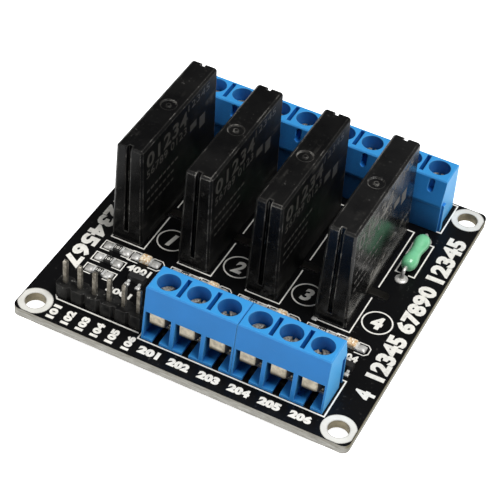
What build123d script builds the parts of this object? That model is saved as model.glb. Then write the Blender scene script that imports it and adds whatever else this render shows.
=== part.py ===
from build123d import *
import os

os.makedirs("parts", exist_ok=True)

# Four-channel relay board. Sizes in millimetres.
# X runs along the front edge, Y to the back, Z up.
# The trimmed leads stand on Z = 0 and the board is centred on X = Y = 0.

# Board: its depth is the sum of the rows on it, added up further down
board_w = 56.0
board_t = 1.6
board_corner = 1.2
lead_drop = 1.8            # how far the trimmed leads reach below the board
board_low = lead_drop
board_top = board_low + board_t
left_edge = -board_w / 2

# Mounting holes, plated through with a wide tinned ring on both faces
hole_inset_x = 2.6
hole_inset_y = 2.7
hole_r = 1.65
plating_t = 0.1            # flush with both faces of the board
ring_r = 2.72
ring_edge = 0.1            # rings stop this far inside the board's edge

# Channels: relay, fuse, lamp and small parts repeat along X
channels = 4
channel_pitch = 11.8
relay_inset_x = 7.95       # first relay's middle, from the left edge
relay_clear = 2.4          # lamps' middle to the relays' front ends
relay_x0 = left_edge + relay_inset_x

# Relay
relay_foot_w = 5.5
relay_top_w = 4.5
relay_len = 24.8
relay_h = 19.0
relay_stand = 0.2          # small gap below the case
relay_chamfer = 0.35
case_wall = 0.8
end_wall = 1.3
groove_w = 0.75
groove_deep = 0.9
groove_off = -0.12
groove_foot = 1.9
dimple_r = 1.3
dimple_deep = 0.22
dimple_pip_r = 0.4
lead_w = 0.6
lead_t = 0.4
lead_grip = 1.5            # length held in the resin
lead_inset = 2.24          # outer leads, from the ends of the case
input_lead_gap = 5.08
load_lead_gap = 7.62

# Isolation slots milled through the board under the relays
slot_w = 2.0
slot_len = 8.9
slot_back = 2.7            # in front of the relay's middle
slot_off = 1.5             # to the right of the relay's middle

# Screw terminals
pitch = 5.0
term_h = 10.0
wire_top = 2.45            # screw axis to the wire side, at the top
wire_foot = 3.5            # and at the board
back_top = 2.75            # screw axis to the back, at the top
back_ridge = 3.95          # and at the ridge
ridge_h = 5.7
ridge_lip = 0.4
ridge_step = 0.15
block_gap = 0.06           # between two blocks that lock together
well_r = 1.8
slit_w = 0.7
slit_len = 4.0
slit_deep = 2.5
mouth_w = 4.3              # wire entry
mouth_low = 0.5
mouth_high = 5.4
back_wall = 1.0
floor_slot_w = 1.1
oval_w = 0.95              # oval recess at the back of each pole
oval_h = 2.3
oval_z = 8.6
oval_deep = 0.9
top_chamfer = 0.18
rib_w = 0.9                # locking rib on one end, groove on the other
rib_out = 0.4
rib_h = 5.6
rib_in = 3.0               # screw axis to the rib's middle
rib_play = 0.08
groove_play = 0.3          # the groove is this much longer than the rib
input_poles = 3
output_poles = 2
input_inset_x = 27.66      # middle of the first front block, from the left edge
input_inset_y = 7.45       # screw axis, from the front edge
output_inset_x = 9.6
output_inset_y = 4.4       # screw axis, from the back edge
output_clear = 2.65        # relays' back ends to the rear terminals' ridge
input_x0 = left_edge + input_inset_x
output_x0 = left_edge + output_inset_x

# Contact frame in each pole: threaded plate, back web, floor plate and leg
frame_w = 3.4
frame_back = 2.65          # screw axis to the frame's back
frame_t = 0.5
thread_plate_t = 0.7
thread_plate_out = 1.95    # screw axis to the plate's front
floor_plate_out = 0.3
leg_w = 0.9

# Wire guard: a leaf under the screw with its front lip turned up
guard_w = 3.4
guard_t = 0.4
guard_z = 3.2
guard_back = 2.05          # screw axis to the leaf's tail
guard_out = 2.75           # screw axis to the lip's face
guard_lip = 2.0
guard_bend = 0.3

# Clamp screw
screw_sides = 12
screw_r = 1.6
screw_head_t = 1.2
screw_top = 7.8
shank_r = 1.15
thread_play = 0.02
screw_slot_w = 0.5
screw_slot_deep = 0.6
screw_turn0 = 25           # slot of the first screw, in degrees
screw_turn = 37            # each screw's slot is turned on from the last

# Pin header
header_pins_n = 6
header_pitch = 2.54
header_inset_x = 5.71
header_inset_y = 6.4
header_x0 = left_edge + header_inset_x
header_h = 2.5
header_nick = 0.64
pin_side = 0.64
pin_top = 7.0
pin_point = 0.18

# Fuse, a waisted body on two bent leads
fuse_off = 6.0             # to the right of the relay's middle
fuse_gap = 11.75           # from the rear terminals' screws to the fuse's middle
fuse_len = 8.2
fuse_bulb_r = 1.4
fuse_waist_r = 1.08
fuse_end_r = 0.6
fuse_axis_z = 1.75
fuse_lead_r = 0.3
fuse_span = 10.0
fuse_bend = 0.6
wire_sides = 8

# Surface-mounted parts
chip_len = 2.0
chip_w = 1.25
chip_t = 0.5
cap_len = 0.35
chip_off = -0.15           # resistors, from the relay's middle
chip_rows = 3
chip_row_gap = 2.95
chip_clear = 1.5           # front terminals' ridge to the first row's middle
pad_len = 1.3
pad_w = 1.4
pad_t = 0.28
lamp_len = 2.3
lamp_w = 1.5
lamp_t = 0.9
lamp_chamfer = 0.2
lamp_off = 4.85            # the lamps stand level with the last row
sot_w = 2.9
sot_d = 1.3
sot_t = 1.0
sot_draft = 7              # degrees
sot_leg_gap = 1.9
sot_leg_w = 0.42
sot_leg_len = 0.55
sot_leg_t = 0.3
sot_pad_w = 0.8
sot_pad_len = 0.6
sot_off = 5.75
sot_back = 4.5             # in front of the lamp

# Solder under the board and round the fuse leads
drill_side = 1.0
solder_r = 0.95
solder_tip_r = 0.53
solder_h = 1.0
fuse_solder_r = 1.2
fuse_solder_h = 0.55
fuse_solder_slope = 50     # degrees

# Depths from the front edge, row by row, up to the back edge
chip_depth = input_inset_y + back_ridge + chip_clear
lamp_depth = chip_depth + (chip_rows - 1) * chip_row_gap
relay_depth = lamp_depth + relay_clear + relay_len / 2
output_depth = relay_depth + relay_len / 2 + output_clear + back_ridge
board_d = output_depth + output_inset_y
front_edge = -board_d / 2

input_y = front_edge + input_inset_y
header_y = front_edge + header_inset_y
lamp_y = front_edge + lamp_depth
sot_y = lamp_y - sot_back
relay_y = front_edge + relay_depth
output_y = front_edge + output_depth
fuse_y = output_y - fuse_gap
hole_spacing_x = board_w - 2 * hole_inset_x
hole_spacing_y = board_d - 2 * hole_inset_y

relay_xs = [relay_x0 + i * channel_pitch for i in range(channels)]
fuse_xs = [x + fuse_off for x in relay_xs]
first_lead_y = relay_y - relay_len / 2 + lead_inset
last_lead_y = relay_y + relay_len / 2 - lead_inset
relay_lead_ys = [
    first_lead_y,
    first_lead_y + input_lead_gap,
    last_lead_y - load_lead_gap,
    last_lead_y,
]
relay_leads_at = [(x, y) for x in relay_xs for y in relay_lead_ys]
fuse_leads_at = [
    (x, fuse_y + s * fuse_span / 2) for x in fuse_xs for s in (-1, 1)
]
header_at = [
    (header_x0 + i * header_pitch, header_y) for i in range(header_pins_n)
]

# Each terminal block: name, poles, middle in X, screw axis in Y, wire side
blocks = [
    (f"input_{side}", input_poles, input_x0 + i * input_poles * pitch, input_y, -1)
    for i, side in enumerate(("left", "right"))
] + [
    (f"output_{i + 1}", output_poles, output_x0 + i * channel_pitch, output_y, 1)
    for i in range(channels)
]
pole_xs = {
    name: [mid + (i - (poles - 1) / 2) * pitch for i in range(poles)]
    for name, poles, mid, axis_y, face in blocks
}
leg_y = {
    name: axis_y - face * (frame_back - frame_t / 2)
    for name, poles, mid, axis_y, face in blocks
}
legs_at = [
    (x, leg_y[name]) for name, poles, mid, axis_y, face in blocks
    for x in pole_xs[name]
]

# Board with its holes and slots
with BuildPart() as board:
    with BuildSketch(Plane.XY.offset(board_low)):
        RectangleRounded(board_w, board_d, board_corner)
        with GridLocations(hole_spacing_x, hole_spacing_y, 2, 2):
            Circle(hole_r + plating_t, mode=Mode.SUBTRACT)
        with Locations(*[(x + slot_off, relay_y - slot_back) for x in relay_xs]):
            SlotOverall(slot_len, slot_w, mode=Mode.SUBTRACT)
        with Locations(*header_at, *relay_leads_at, *fuse_leads_at, *legs_at):
            Rectangle(drill_side, drill_side, mode=Mode.SUBTRACT)
    extrude(amount=board_t)
    # shallow seats that leave the rings flush
    for z in (board_low, board_top - plating_t):
        with BuildSketch(Plane.XY.offset(z)):
            with GridLocations(hole_spacing_x, hole_spacing_y, 2, 2):
                Circle(ring_r)
            RectangleRounded(board_w - 2 * ring_edge, board_d - 2 * ring_edge,
                             board_corner, mode=Mode.INTERSECT)
        extrude(amount=plating_t, mode=Mode.SUBTRACT)
board.part.label = "board"
export_step(board.part, "parts/board.step")

# Plated mounting holes: a sleeve with a ring on each face
with BuildPart() as hole_plating:
    with BuildSketch(Plane.XY.offset(board_low)):
        with GridLocations(hole_spacing_x, hole_spacing_y, 2, 2):
            Circle(hole_r + plating_t)
    extrude(amount=board_t)
    for z in (board_low, board_top - plating_t):
        with BuildSketch(Plane.XY.offset(z)):
            with GridLocations(hole_spacing_x, hole_spacing_y, 2, 2):
                Circle(ring_r)
            RectangleRounded(board_w - 2 * ring_edge, board_d - 2 * ring_edge,
                             board_corner, mode=Mode.INTERSECT)
        extrude(amount=plating_t)
    with BuildSketch(Plane.XY.offset(board_low)):
        with GridLocations(hole_spacing_x, hole_spacing_y, 2, 2):
            Circle(hole_r)
    extrude(amount=board_t, mode=Mode.SUBTRACT)
hole_plating.part.label = "hole_plating"
export_step(hole_plating.part, "parts/hole_plating.step")

# Relays: moulded case, resin inside it and four leads in a row
case_low = board_top + relay_stand
for i, x in enumerate(relay_xs):
    with BuildPart() as relay_case:
        with BuildSketch(Plane.XY.offset(case_low)):
            with Locations((x, relay_y)):
                Rectangle(relay_foot_w, relay_len)
        with BuildSketch(Plane.XY.offset(case_low + relay_h)):
            with Locations((x, relay_y)):
                Rectangle(relay_top_w, relay_len)
        loft()
        foot = relay_case.faces().sort_by(Axis.Z)[0].edges()
        chamfer(relay_case.edges() - foot, relay_chamfer)
        # guide groove in both ends, open at the top
        with BuildSketch(Plane.XY.offset(case_low + groove_foot)):
            for end in (-1, 1):
                with Locations((x + groove_off, relay_y + end * relay_len / 2)):
                    Rectangle(groove_w, 2 * groove_deep)
        extrude(amount=relay_h, mode=Mode.SUBTRACT)
        # ejector mark on the top
        with BuildSketch(Plane.XY.offset(case_low + relay_h - dimple_deep)):
            with Locations((x, relay_y)):
                Circle(dimple_r)
                Circle(dimple_pip_r, mode=Mode.SUBTRACT)
        extrude(amount=dimple_deep, mode=Mode.SUBTRACT)
        # cavity for the resin
        with BuildSketch(Plane.XY.offset(case_low)):
            with Locations((x, relay_y)):
                Rectangle(relay_foot_w - 2 * case_wall, relay_len - 2 * end_wall)
        with BuildSketch(Plane.XY.offset(case_low + relay_h - case_wall)):
            with Locations((x, relay_y)):
                Rectangle(relay_top_w - 2 * case_wall, relay_len - 2 * end_wall)
        loft(mode=Mode.SUBTRACT)
    relay_case.part.label = f"relay_case_{i + 1}"
    export_step(relay_case.part, f"parts/relay_case_{i + 1}.step")

    with BuildPart() as relay_resin:
        with BuildSketch(Plane.XY.offset(case_low)):
            with Locations((x, relay_y)):
                Rectangle(relay_foot_w - 2 * case_wall, relay_len - 2 * end_wall)
        with BuildSketch(Plane.XY.offset(case_low + relay_h - case_wall)):
            with Locations((x, relay_y)):
                Rectangle(relay_top_w - 2 * case_wall, relay_len - 2 * end_wall)
        loft()
        with BuildSketch(Plane.XY.offset(case_low)):
            with Locations(*[(x, y) for y in relay_lead_ys]):
                Rectangle(lead_t, lead_w)
        extrude(amount=lead_grip, mode=Mode.SUBTRACT)
    relay_resin.part.label = f"relay_resin_{i + 1}"
    export_step(relay_resin.part, f"parts/relay_resin_{i + 1}.step")

    with BuildPart() as relay_leads:
        with BuildSketch(Plane.XY):
            with Locations(*[(x, y) for y in relay_lead_ys]):
                Rectangle(lead_t, lead_w)
        extrude(amount=case_low + lead_grip)
    relay_leads.part.label = f"relay_leads_{i + 1}"
    export_step(relay_leads.part, f"parts/relay_leads_{i + 1}.step")

# Screw terminals
for name, poles, mid, axis_y, face in blocks:
    kind, tag = name.split("_")
    length = poles * pitch - block_gap
    xs = pole_xs[name]
    groove_end = mid - face * length / 2
    rib_end = mid + face * length / 2
    lock_y = axis_y - face * rib_in

    with BuildPart() as housing:
        with BuildSketch(Plane.YZ.offset(mid - length / 2)):
            with BuildLine():
                Polyline(
                    (axis_y + face * wire_foot, board_top),
                    (axis_y + face * wire_top, board_top + term_h),
                    (axis_y - face * back_top, board_top + term_h),
                    (axis_y - face * back_ridge, board_top + ridge_h),
                    (axis_y - face * back_ridge, board_top + ridge_h - ridge_lip),
                    (axis_y - face * (back_ridge - ridge_step),
                     board_top + ridge_h - ridge_lip - ridge_step),
                    (axis_y - face * (back_ridge - ridge_step), board_top),
                    close=True,
                )
            make_face()
        extrude(amount=length)
        chamfer(housing.faces().sort_by(Axis.Z)[-1].edges(), top_chamfer)
        # locking rib on one end and its groove on the other
        with BuildSketch(Plane.XY.offset(board_top)):
            with Locations((rib_end, lock_y)):
                Rectangle(2 * rib_out, rib_w)
        extrude(amount=rib_h)
        with BuildSketch(Plane.XY.offset(board_top)):
            with Locations((groove_end, lock_y)):
                Rectangle(2 * (rib_out + rib_play), rib_w + 2 * rib_play)
        extrude(amount=rib_h + groove_play, mode=Mode.SUBTRACT)
        # screw wells, from the top into the wire chambers
        with BuildSketch(Plane.XY.offset(board_top + mouth_high)):
            with Locations(*[(x, axis_y) for x in xs]):
                Circle(well_r)
        extrude(amount=term_h, mode=Mode.SUBTRACT)
        # slits between the poles
        with BuildSketch(Plane.XY.offset(board_top + term_h - slit_deep)):
            with Locations(*[(x + pitch / 2, axis_y) for x in xs[:-1]]):
                Rectangle(slit_w, slit_len)
        extrude(amount=term_h, mode=Mode.SUBTRACT)
        # wire chambers, open to the wire side
        with BuildSketch(Plane.XY.offset(board_top + mouth_low)):
            with Locations(*[(x, axis_y + face * back_wall) for x in xs]):
                Rectangle(mouth_w, 2 * back_ridge)
        extrude(amount=mouth_high - mouth_low, mode=Mode.SUBTRACT)
        # slot in each chamber's floor, where the contact's leg went in
        with BuildSketch(Plane.XY.offset(board_top)):
            with Locations(*[(x, axis_y + face * back_wall) for x in xs]):
                Rectangle(floor_slot_w, 2 * back_ridge)
        extrude(amount=mouth_low, mode=Mode.SUBTRACT)
        # oval recess in the sloping back of each pole
        back_plane = Plane(
            origin=(0, axis_y - face * (back_ridge + oval_deep), 0),
            x_dir=(1, 0, 0), z_dir=(0, face, 0),
        )
        with BuildSketch(back_plane) as ovals:
            with Locations(*[(x, -face * (board_top + oval_z)) for x in xs]):
                Rectangle(oval_w, oval_h)
            chamfer(ovals.vertices(), oval_w / 3)
        extrude(amount=back_ridge - back_top + 1.5 * oval_deep, mode=Mode.SUBTRACT)
    housing.part.label = f"{kind}_housing_{tag}"
    export_step(housing.part, f"parts/{kind}_housing_{tag}.step")

    # wire guards: tail, leaf and upturned lip
    with BuildPart() as clamps:
        for x in xs:
            with BuildSketch(Plane.YZ.offset(x - guard_w / 2)):
                with BuildLine():
                    Polyline(
                        (axis_y - face * guard_back, board_top + guard_z),
                        (axis_y + face * (guard_out - guard_bend), board_top + guard_z),
                        (axis_y + face * guard_out, board_top + guard_z + guard_bend),
                        (axis_y + face * guard_out, board_top + guard_z + guard_lip),
                        (axis_y + face * (guard_out - guard_t),
                         board_top + guard_z + guard_lip),
                        (axis_y + face * (guard_out - guard_t),
                         board_top + guard_z + guard_t),
                        (axis_y - face * guard_back, board_top + guard_z + guard_t),
                        close=True,
                    )
                make_face()
            extrude(amount=guard_w)
    clamps.part.label = f"{kind}_clamps_{tag}"
    export_step(clamps.part, f"parts/{kind}_clamps_{tag}.step")

    # screws, down through the threaded plate onto the leaf
    with BuildPart() as screws:
        with BuildSketch(Plane.XY.offset(board_top + guard_z + guard_t)):
            with Locations(*[(x, axis_y) for x in xs]):
                RegularPolygon(shank_r, screw_sides // 2)
        extrude(amount=screw_top - screw_head_t - guard_z - guard_t)
        with BuildSketch(Plane.XY.offset(board_top + screw_top - screw_head_t)):
            with Locations(*[(x, axis_y) for x in xs]):
                RegularPolygon(screw_r, screw_sides)
        extrude(amount=screw_head_t)
        with BuildSketch(Plane.XY.offset(board_top + screw_top - screw_slot_deep)):
            for k, x in enumerate(xs):
                with Locations(Location((x, axis_y), screw_turn0 + k * screw_turn)):
                    Rectangle(3 * screw_r, screw_slot_w)
        extrude(amount=screw_head_t, mode=Mode.SUBTRACT)
    screws.part.label = f"{kind}_screws_{tag}"
    export_step(screws.part, f"parts/{kind}_screws_{tag}.step")

    # contact frames: a C over the wire, with a leg down through the board
    with BuildPart() as contacts:
        for x in xs:
            with BuildSketch(Plane.YZ.offset(x - frame_w / 2)):
                with BuildLine():
                    Polyline(
                        (axis_y - face * frame_back, board_top + mouth_low),
                        (axis_y + face * floor_plate_out, board_top + mouth_low),
                        (axis_y + face * floor_plate_out,
                         board_top + mouth_low + frame_t),
                        (axis_y - face * (frame_back - frame_t),
                         board_top + mouth_low + frame_t),
                        (axis_y - face * (frame_back - frame_t),
                         board_top + mouth_high - thread_plate_t),
                        (axis_y + face * thread_plate_out,
                         board_top + mouth_high - thread_plate_t),
                        (axis_y + face * thread_plate_out, board_top + mouth_high),
                        (axis_y - face * frame_back, board_top + mouth_high),
                        close=True,
                    )
                make_face()
            extrude(amount=frame_w)
        with BuildSketch(Plane.XY.offset(board_top + mouth_high - thread_plate_t)):
            with Locations(*[(x, axis_y) for x in xs]):
                RegularPolygon(shank_r + thread_play, screw_sides // 2)
        extrude(amount=thread_plate_t, mode=Mode.SUBTRACT)
        with BuildSketch(Plane.XY):
            with Locations(*[(x, leg_y[name]) for x in xs]):
                Rectangle(leg_w, frame_t)
        extrude(amount=board_top + mouth_low)
    contacts.part.label = f"{kind}_contacts_{tag}"
    export_step(contacts.part, f"parts/{kind}_contacts_{tag}.step")

# Pin header: one base with a nick between the poles, six square pins
header_mid = header_x0 + (header_pins_n - 1) * header_pitch / 2
with BuildPart() as header_base:
    with BuildSketch(Plane.XY.offset(board_top)):
        with Locations((header_mid, header_y)):
            Rectangle(header_pins_n * header_pitch, header_pitch)
            with GridLocations(header_pitch, header_pitch, header_pins_n + 1, 2):
                Rectangle(header_nick, header_nick, rotation=45, mode=Mode.SUBTRACT)
        with Locations(*header_at):
            Rectangle(pin_side, pin_side, mode=Mode.SUBTRACT)
    extrude(amount=header_h)
header_base.part.label = "header_base"
export_step(header_base.part, "parts/header_base.step")

with BuildPart() as header_pins:
    with BuildSketch(Plane.XY):
        with Locations(*header_at):
            Rectangle(pin_side, pin_side)
    extrude(amount=board_top + pin_top)
    chamfer(header_pins.faces().filter_by(Axis.Z).filter_by(
        lambda f: f.center().Z > board_top).edges(), pin_point)
header_pins.part.label = "header_pins"
export_step(header_pins.part, "parts/header_pins.step")

# Fuses: half the waisted outline is drawn and mirrored about the middle
fuse_z = board_top + fuse_axis_z
half = fuse_len / 2
for i, x in enumerate(fuse_xs):
    with BuildPart() as fuse_body:
        with BuildSketch(Plane.YZ.offset(x)):
            with BuildLine():
                Polyline(
                    (fuse_y, fuse_z),
                    (fuse_y, fuse_z + fuse_waist_r),
                    (fuse_y + 0.2 * half, fuse_z + fuse_waist_r),
                    (fuse_y + 0.5 * half, fuse_z + fuse_bulb_r),
                    (fuse_y + 0.8 * half, fuse_z + fuse_bulb_r),
                    (fuse_y + half, fuse_z + fuse_end_r),
                    (fuse_y + half, fuse_z),
                    close=True,
                )
            make_face()
            mirror(about=Plane.YZ.offset(fuse_y))
        revolve(axis=Axis((x, 0, fuse_z), (0, 1, 0)))
        with BuildSketch(Plane.XZ.offset(-(fuse_y - half))):
            with Locations((x, fuse_z)):
                RegularPolygon(fuse_lead_r, wire_sides)
        extrude(amount=-fuse_len, mode=Mode.SUBTRACT)
    fuse_body.part.label = f"fuse_body_{i + 1}"
    export_step(fuse_body.part, f"parts/fuse_body_{i + 1}.step")

    with BuildPart() as fuse_leads:
        with BuildLine(Plane.YZ.offset(x)) as lead_path:
            Polyline(
                (fuse_y - fuse_span / 2, 0),
                (fuse_y - fuse_span / 2, fuse_z - fuse_bend),
                (fuse_y - fuse_span / 2 + fuse_bend, fuse_z),
                (fuse_y + fuse_span / 2 - fuse_bend, fuse_z),
                (fuse_y + fuse_span / 2, fuse_z - fuse_bend),
                (fuse_y + fuse_span / 2, 0),
            )
        with BuildSketch(Plane.XY):
            with Locations((x, fuse_y - fuse_span / 2)):
                RegularPolygon(fuse_lead_r, wire_sides)
        sweep(path=lead_path.line, transition=Transition.RIGHT)
    fuse_leads.part.label = f"fuse_leads_{i + 1}"
    export_step(fuse_leads.part, f"parts/fuse_leads_{i + 1}.step")

# Indicator lamps
for i, x in enumerate(relay_xs):
    with BuildPart() as lamp:
        with BuildSketch(Plane.XY.offset(board_top)):
            with Locations((x + lamp_off, lamp_y)):
                Rectangle(lamp_len - 2 * cap_len, lamp_w)
        extrude(amount=lamp_t)
        chamfer(lamp.faces().sort_by(Axis.Z)[-1].edges(), lamp_chamfer)
    lamp.part.label = f"lamp_{i + 1}"
    export_step(lamp.part, f"parts/lamp_{i + 1}.step")

chip_at = [
    (x + chip_off, front_edge + chip_depth + k * chip_row_gap)
    for x in relay_xs for k in range(chip_rows)
]
lamp_at = [(x + lamp_off, lamp_y) for x in relay_xs]
sot_at = [(x + sot_off, sot_y) for x in relay_xs]

# Metal ends of the lamps
with BuildPart() as lamp_caps:
    with BuildSketch(Plane.XY.offset(board_top)):
        with Locations(*lamp_at):
            with GridLocations(lamp_len - cap_len, 1, 2, 1):
                Rectangle(cap_len, lamp_w)
    extrude(amount=lamp_t / 2)
lamp_caps.part.label = "lamp_caps"
export_step(lamp_caps.part, "parts/lamp_caps.step")

# Resistors and their metal ends
with BuildPart() as resistors:
    with BuildSketch(Plane.XY.offset(board_top)):
        with Locations(*chip_at):
            Rectangle(chip_len - 2 * cap_len, chip_w)
    extrude(amount=chip_t)
resistors.part.label = "resistors"
export_step(resistors.part, "parts/resistors.step")

with BuildPart() as resistor_caps:
    with BuildSketch(Plane.XY.offset(board_top)):
        with Locations(*chip_at):
            with GridLocations(chip_len - cap_len, 1, 2, 1):
                Rectangle(cap_len, chip_w)
    extrude(amount=chip_t)
resistor_caps.part.label = "resistor_caps"
export_step(resistor_caps.part, "parts/resistor_caps.step")

# Transistors: body with drafted sides, three legs
with BuildPart() as transistors:
    with BuildSketch(Plane.XY.offset(board_top)):
        with Locations(*sot_at):
            Rectangle(sot_w, sot_d)
    extrude(amount=sot_t, taper=sot_draft)
transistors.part.label = "transistors"
export_step(transistors.part, "parts/transistors.step")

# Each leg: its place along the body and the side it leaves
leg_places = ((-sot_leg_gap / 2, -1), (sot_leg_gap / 2, -1), (0, 1))
with BuildPart() as transistor_legs:
    with BuildSketch(Plane.XY.offset(board_top)):
        with Locations(*[(x + dx, y + side * (sot_d + sot_leg_len) / 2)
                         for x, y in sot_at for dx, side in leg_places]):
            Rectangle(sot_leg_w, sot_leg_len)
    extrude(amount=sot_leg_t)
transistor_legs.part.label = "transistor_legs"
export_step(transistor_legs.part, "parts/transistor_legs.step")

# Solder on the pads of the surface-mounted parts
with BuildPart() as pad_solder:
    with BuildSketch(Plane.XY.offset(board_top)):
        with Locations(*chip_at):
            with GridLocations(chip_len + pad_len, 1, 2, 1):
                Rectangle(pad_len, pad_w)
        with Locations(*lamp_at):
            with GridLocations(lamp_len + pad_len, 1, 2, 1):
                Rectangle(pad_len, pad_w)
        with Locations(*[(x + dx, y + side * (sot_d / 2 + sot_leg_len + sot_pad_len / 2))
                         for x, y in sot_at for dx, side in leg_places]):
            Rectangle(sot_pad_w, sot_pad_len)
    extrude(amount=pad_t)
pad_solder.part.label = "pad_solder"
export_step(pad_solder.part, "parts/pad_solder.step")

# Solder cones under the board: one is drawn, then copied round each lead
with BuildPart() as solder_cone:
    with BuildSketch(Plane.XY.offset(board_low)):
        RegularPolygon(solder_r, wire_sides)
    with BuildSketch(Plane.XY.offset(board_low - solder_h)):
        RegularPolygon(solder_tip_r, wire_sides)
    loft()

with BuildPart() as lead_solder:
    with Locations(*header_at, *relay_leads_at, *legs_at, *fuse_leads_at):
        add(solder_cone.part)
    with BuildSketch(Plane.XY):
        with Locations(*header_at):
            Rectangle(pin_side, pin_side)
        with Locations(*relay_leads_at):
            Rectangle(lead_t, lead_w)
        with Locations(*legs_at):
            Rectangle(leg_w, frame_t)
        with Locations(*fuse_leads_at):
            RegularPolygon(fuse_lead_r, wire_sides)
    extrude(amount=board_low, mode=Mode.SUBTRACT)
lead_solder.part.label = "lead_solder"
export_step(lead_solder.part, "parts/lead_solder.step")

# Solder round the fuse leads on the top face
with BuildPart() as fuse_solder:
    with BuildSketch(Plane.XY.offset(board_top)):
        with Locations(*fuse_leads_at):
            RegularPolygon(fuse_solder_r, wire_sides)
    extrude(amount=fuse_solder_h, taper=fuse_solder_slope)
    with BuildSketch(Plane.XY.offset(board_top)):
        with Locations(*fuse_leads_at):
            RegularPolygon(fuse_lead_r, wire_sides)
    extrude(amount=fuse_solder_h, mode=Mode.SUBTRACT)
fuse_solder.part.label = "fuse_solder"
export_step(fuse_solder.part, "parts/fuse_solder.step")
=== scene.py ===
"""Looks for the relay module board: finishes, formed parts, print and the photo's view."""
import math

import bmesh
import bpy
import numpy as np
from mathutils import Matrix, Vector


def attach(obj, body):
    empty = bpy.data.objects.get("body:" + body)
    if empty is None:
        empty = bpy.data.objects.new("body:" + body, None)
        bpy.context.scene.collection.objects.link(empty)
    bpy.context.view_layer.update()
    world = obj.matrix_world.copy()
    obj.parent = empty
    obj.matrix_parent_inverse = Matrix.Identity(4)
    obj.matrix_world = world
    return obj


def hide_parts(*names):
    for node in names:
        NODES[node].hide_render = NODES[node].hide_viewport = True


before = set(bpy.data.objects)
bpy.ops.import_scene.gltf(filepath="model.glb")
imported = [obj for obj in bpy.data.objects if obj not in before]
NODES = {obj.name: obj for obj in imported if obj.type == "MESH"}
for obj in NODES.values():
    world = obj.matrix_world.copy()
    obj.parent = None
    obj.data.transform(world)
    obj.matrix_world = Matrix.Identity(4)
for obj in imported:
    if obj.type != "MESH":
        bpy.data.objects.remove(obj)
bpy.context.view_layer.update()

# Places, in millimetres, as in the part's source
MM = 0.001
BOARD_LOW, BOARD_TOP = 1.8, 3.4
LEFT, FRONT = -28.0, -28.5
CHANNELS = np.arange(4)
RELAYS = LEFT + 7.95 + 11.8 * CHANNELS
RELAY_Y = FRONT + 33.6
RELAY_LOW, RELAY_H = BOARD_TOP + 0.2, 19.0
FUSES = RELAYS + 6.0
FUSE_Y, FUSE_Z, FUSE_SPAN = FRONT + 40.85, BOARD_TOP + 1.75, 10.0
OUTPUTS = LEFT + 9.6 + 11.8 * CHANNELS
OUTPUT_Y = FRONT + 52.6
INPUTS = LEFT + 27.66 + 15.0 * np.arange(2)
INPUT_Y = FRONT + 7.45
POLE = 5.0
PINS = LEFT + 5.71 + 2.54 * np.arange(6)
HEADER_Y = FRONT + 6.4
CHIP_ROWS = FRONT + 12.9 + 2.95 * np.arange(3)
CHIPS = RELAYS - 0.15
LAMPS = RELAYS + 4.85
LAMP_Y = CHIP_ROWS[-1]
SOTS = RELAYS + 5.75
SOT_Y = LAMP_Y - 4.5
PRINT_RELAYS = LEFT + 7.75 + 11.9 * CHANNELS


# Meshes

def piece(name, parts, material, stands_for=(), sharp=35.0):
    """A mesh piece from (points in millimetres, faces) pairs, riding on the board."""
    points, faces, shift = [], [], 0
    for part_points, part_faces in parts:
        points.append(part_points)
        faces += [[k + shift for k in face] for face in part_faces]
        shift += len(part_points)
    mesh = bpy.data.meshes.new(name)
    mesh.from_pydata((np.vstack(points) * MM).tolist(), [], faces)
    mesh.materials.append(material)
    mesh.shade_smooth()
    mesh.set_sharp_from_angle(angle=math.radians(sharp))
    mesh.validate()
    made = bpy.data.objects.new(name, mesh)
    bpy.context.scene.collection.objects.link(made)
    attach(made, "root")
    if stands_for:
        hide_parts(*stands_for)
    return made


def lattice(rows, cols, wrap=False):
    """Quads between neighbours of a rows x cols grid; wrap joins the last column to the first."""
    i, j = np.meshgrid(np.arange(rows - 1), np.arange(cols if wrap else cols - 1),
                       indexing="ij")
    here, beside = i * cols + j, i * cols + (j + 1) % cols
    return np.stack([here, beside, beside + cols, here + cols], -1).reshape(-1, 4)


def swept(path, radii, sides=16):
    """A round bar of changing radius along a path that has no turn in X.

    Ring i is path[i] + radii[i] * (cos(a) * u + sin(a) * v), where u is the X
    direction, v is the path's direction x u and a runs once round. Flat ends close it.
    """
    path = np.asarray(path, float)
    ahead = np.gradient(path, axis=0)
    ahead = ahead / np.linalg.norm(ahead, axis=1)[:, None]
    u = np.broadcast_to((1.0, 0.0, 0.0), path.shape)
    v = np.cross(ahead, u)
    a = np.linspace(0.0, 2 * math.pi, sides, endpoint=False)[None, :, None]
    reach = np.broadcast_to(radii, len(path))[:, None, None]
    rings = path[:, None] + reach * (np.cos(a) * u[:, None] + np.sin(a) * v[:, None])
    last = (len(path) - 1) * sides + np.arange(sides)
    faces = lattice(len(path), sides, wrap=True).tolist()
    return rings.reshape(-1, 3), faces + [last.tolist(), np.arange(sides)[::-1].tolist()]


def shell(top, foot):
    """A closed body between two grids of one size, the first over the second."""
    rows, cols = top.shape[:2]
    index, n = np.arange(rows * cols).reshape(rows, cols), rows * cols
    rim = np.concatenate([index[:-1, 0], index[-1, :-1], index[:0:-1, -1], index[0, :0:-1]])
    after = np.roll(rim, -1)
    net = lattice(rows, cols)
    sides = np.column_stack([rim + n, after + n, after, rim])
    faces = np.vstack([net[:, ::-1], net + n, sides])
    return np.vstack([top.reshape(-1, 3), foot.reshape(-1, 3)]), faces.tolist()


def mound(px, py, top, low):
    """A closed body over a grid of places, with the heights given on top and a level foot."""
    return shell(np.stack([px, py, top], -1), np.stack([px, py, np.full_like(px, low)], -1))


def square_grid(steps):
    """u and v from -1 to 1 over a square, closer together near the rim."""
    side = np.sin(np.linspace(-math.pi / 2, math.pi / 2, steps))
    return np.meshgrid(side, side, indexing="ij")


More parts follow.
